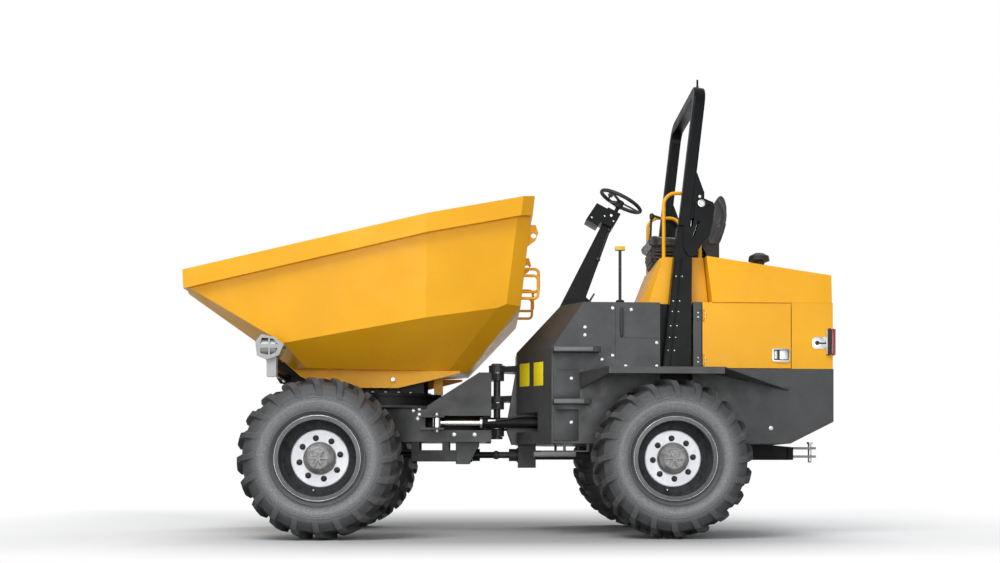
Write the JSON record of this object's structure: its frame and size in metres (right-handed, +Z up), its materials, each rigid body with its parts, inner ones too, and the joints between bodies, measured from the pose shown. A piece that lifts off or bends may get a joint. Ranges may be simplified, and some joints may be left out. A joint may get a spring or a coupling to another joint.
{
  "type": "site dumper",
  "caption": "Articulated site dumper with a swivelling, forward-tipping skip, big lugged tyres, an open driving seat and a folding roll bar.",
  "frame": {"origin": "on the ground, under the middle of the machine's length and width", "axes": "+X to the rear of the machine, the skip points to -X, +Y to its right-hand side, +Z up"},
  "size_m": [4.868, 2.38, 3.557],
  "materials": {
    "tyre": "worn rubber",
    "wheel_silver": "satin silver",
    "cast_grey": "painted casting",
    "yellow": "gloss",
    "dark_grey": "semi-gloss",
    "steel": "machined",
    "chrome": "polished",
    "black_plastic": "matt",
    "seat_cloth": "woven vinyl",
    "lamp_red": "clear red"
  },
  "bodies": {
    "rear_frame": {"rear_chassis": "dark_grey", "rear_axle": "cast_grey", "operator_tub": "dark_grey", "rear_body": "dark_grey", "fenders": "dark_grey", "steps": "dark_grey", "rear_surround": "yellow", "bonnet": "yellow", "air_cleaner": "black_plastic", "seat_box": "yellow", "engine_block": "cast_grey", "bulkhead": "dark_grey", "seat_base": "black_plastic", "seat_cushion": "seat_cloth", "seat_back": "seat_cloth", "steering_column": "black_plastic", "floor_controls": "black_plastic", "grab_rails": "yellow", "rops_posts": "dark_grey", "tail_lamps": "lamp_red", "tow_hitch": "dark_grey", "drop_box": "cast_grey"},
    "front_frame": {"front_chassis": "dark_grey", "front_axle": "cast_grey", "slew_ring": "steel", "front_propshaft": "steel"},
    "turret": {"turret": "dark_grey", "work_lamps": "black_plastic"},
    "skip": {"skip": "yellow", "skip_underframe": "yellow", "skip_handles": "yellow"},
    "tip_barrels": {"tip_barrels": "dark_grey"},
    "tip_rods": {"tip_rods": "chrome"},
    "steer_barrel_near": {"steer_barrel_near": "dark_grey"},
    "steer_rod_near": {"steer_rod_near": "chrome"},
    "steer_barrel_far": {"steer_barrel_far": "dark_grey"},
    "steer_rod_far": {"steer_rod_far": "chrome"},
    "side_door_near": {"side_door_near": "yellow"},
    "side_door_far": {"side_door_far": "yellow"},
    "rops_hoop": {"rops_hoop": "dark_grey"},
    "steering_wheel": {"steering_wheel": "black_plastic"},
    "wheel_front_near": {"tyre_front_near": "tyre", "rim_front_near": "wheel_silver", "hub_front_near": "cast_grey"},
    "wheel_front_far": {"tyre_front_far": "tyre", "rim_front_far": "wheel_silver", "hub_front_far": "cast_grey"},
    "wheel_rear_near": {"tyre_rear_near": "tyre", "rim_rear_near": "wheel_silver", "hub_rear_near": "cast_grey"},
    "wheel_rear_far": {"tyre_rear_far": "tyre", "rim_rear_far": "wheel_silver", "hub_rear_far": "cast_grey"}
  },
  "joints": [
    {"name": "steer", "type": "hinge", "parent": "rear_frame", "child": "front_frame", "pos_m": [-0.181, 0, 1], "axis": [0, 0, 1], "range_deg": [-33, 33]},
    {"name": "swivel", "type": "hinge", "parent": "front_frame", "child": "turret", "pos_m": [-1.093, 0, 1.04], "axis": [0, 0, -1], "range_deg": [-90, 90]},
    {"name": "tip", "type": "hinge", "parent": "turret", "child": "skip", "pos_m": [-1.935, 0, 1.365], "axis": [0, -1, 0], "range_deg": [0, 68]},
    {"name": "tip_barrel", "type": "hinge", "parent": "turret", "child": "tip_barrels", "pos_m": [-1.64, 0, 1.16], "axis": [0, -1, 0], "range_deg": [0, 75.21]},
    {"name": "tip_rod", "type": "slide", "parent": "tip_barrels", "child": "tip_rods", "axis": [0.9981, 0, 0.061], "range_m": [0, 0.3919]},
    {"name": "steer_barrel_near", "type": "hinge", "parent": "rear_frame", "child": "steer_barrel_near", "pos_m": [0.184, -0.33, 0.872], "axis": [0, 0, 1], "range_deg": [-19.33, 19.33]},
    {"name": "steer_rod_near", "type": "slide", "parent": "steer_barrel_near", "child": "steer_rod_near", "axis": [-1, 0, 0], "range_m": [-0.1903, 0.1903]},
    {"name": "steer_barrel_far", "type": "hinge", "parent": "rear_frame", "child": "steer_barrel_far", "pos_m": [0.184, 0.33, 0.872], "axis": [0, 0, 1], "range_deg": [-19.33, 19.33]},
    {"name": "steer_rod_far", "type": "slide", "parent": "steer_barrel_far", "child": "steer_rod_far", "axis": [-1, 0, 0], "range_m": [-0.1903, 0.1903]},
    {"name": "wheel_front_near", "type": "hinge", "parent": "front_frame", "child": "wheel_front_near", "pos_m": [-1.463, -0.94, 0.585], "axis": [0, 1, 0], "continuous": true},
    {"name": "wheel_front_far", "type": "hinge", "parent": "front_frame", "child": "wheel_front_far", "pos_m": [-1.463, 0.94, 0.585], "axis": [0, 1, 0], "continuous": true},
    {"name": "wheel_rear_near", "type": "hinge", "parent": "rear_frame", "child": "wheel_rear_near", "pos_m": [1.095, -0.94, 0.585], "axis": [0, 1, 0], "continuous": true},
    {"name": "wheel_rear_far", "type": "hinge", "parent": "rear_frame", "child": "wheel_rear_far", "pos_m": [1.095, 0.94, 0.585], "axis": [0, 1, 0], "continuous": true},
    {"name": "rops_hoop", "type": "hinge", "parent": "rear_frame", "child": "rops_hoop", "pos_m": [1.38, 0, 2.549], "axis": [0, 1, 0], "range_deg": [0, 100]},
    {"name": "side_door_near", "type": "hinge", "parent": "rear_frame", "child": "side_door_near", "pos_m": [1.39, -0.644, 1.5], "axis": [0, 0, -1], "range_deg": [0, 110]},
    {"name": "side_door_far", "type": "hinge", "parent": "rear_frame", "child": "side_door_far", "pos_m": [1.39, 0.644, 1.5], "axis": [0, 0, 1], "range_deg": [0, 110]},
    {"name": "steering_wheel", "type": "hinge", "parent": "rear_frame", "child": "steering_wheel", "pos_m": [0.832, 0, 2.699], "axis": [0.454, 0, 0.891], "continuous": true}
  ],
  "couplings": [
    {"joint": "tip_barrel", "follows": "tip", "ratio": 1.0987},
    {"joint": "tip_rod", "follows": "tip", "m_per_rad": 0.32853},
    {"joint": "steer_barrel_near", "follows": "steer", "ratio": 0.57061},
    {"joint": "steer_rod_near", "follows": "steer", "m_per_rad": -0.3252},
    {"joint": "steer_barrel_far", "follows": "steer", "ratio": 0.57061},
    {"joint": "steer_rod_far", "follows": "steer", "m_per_rad": 0.3252}
  ]
}
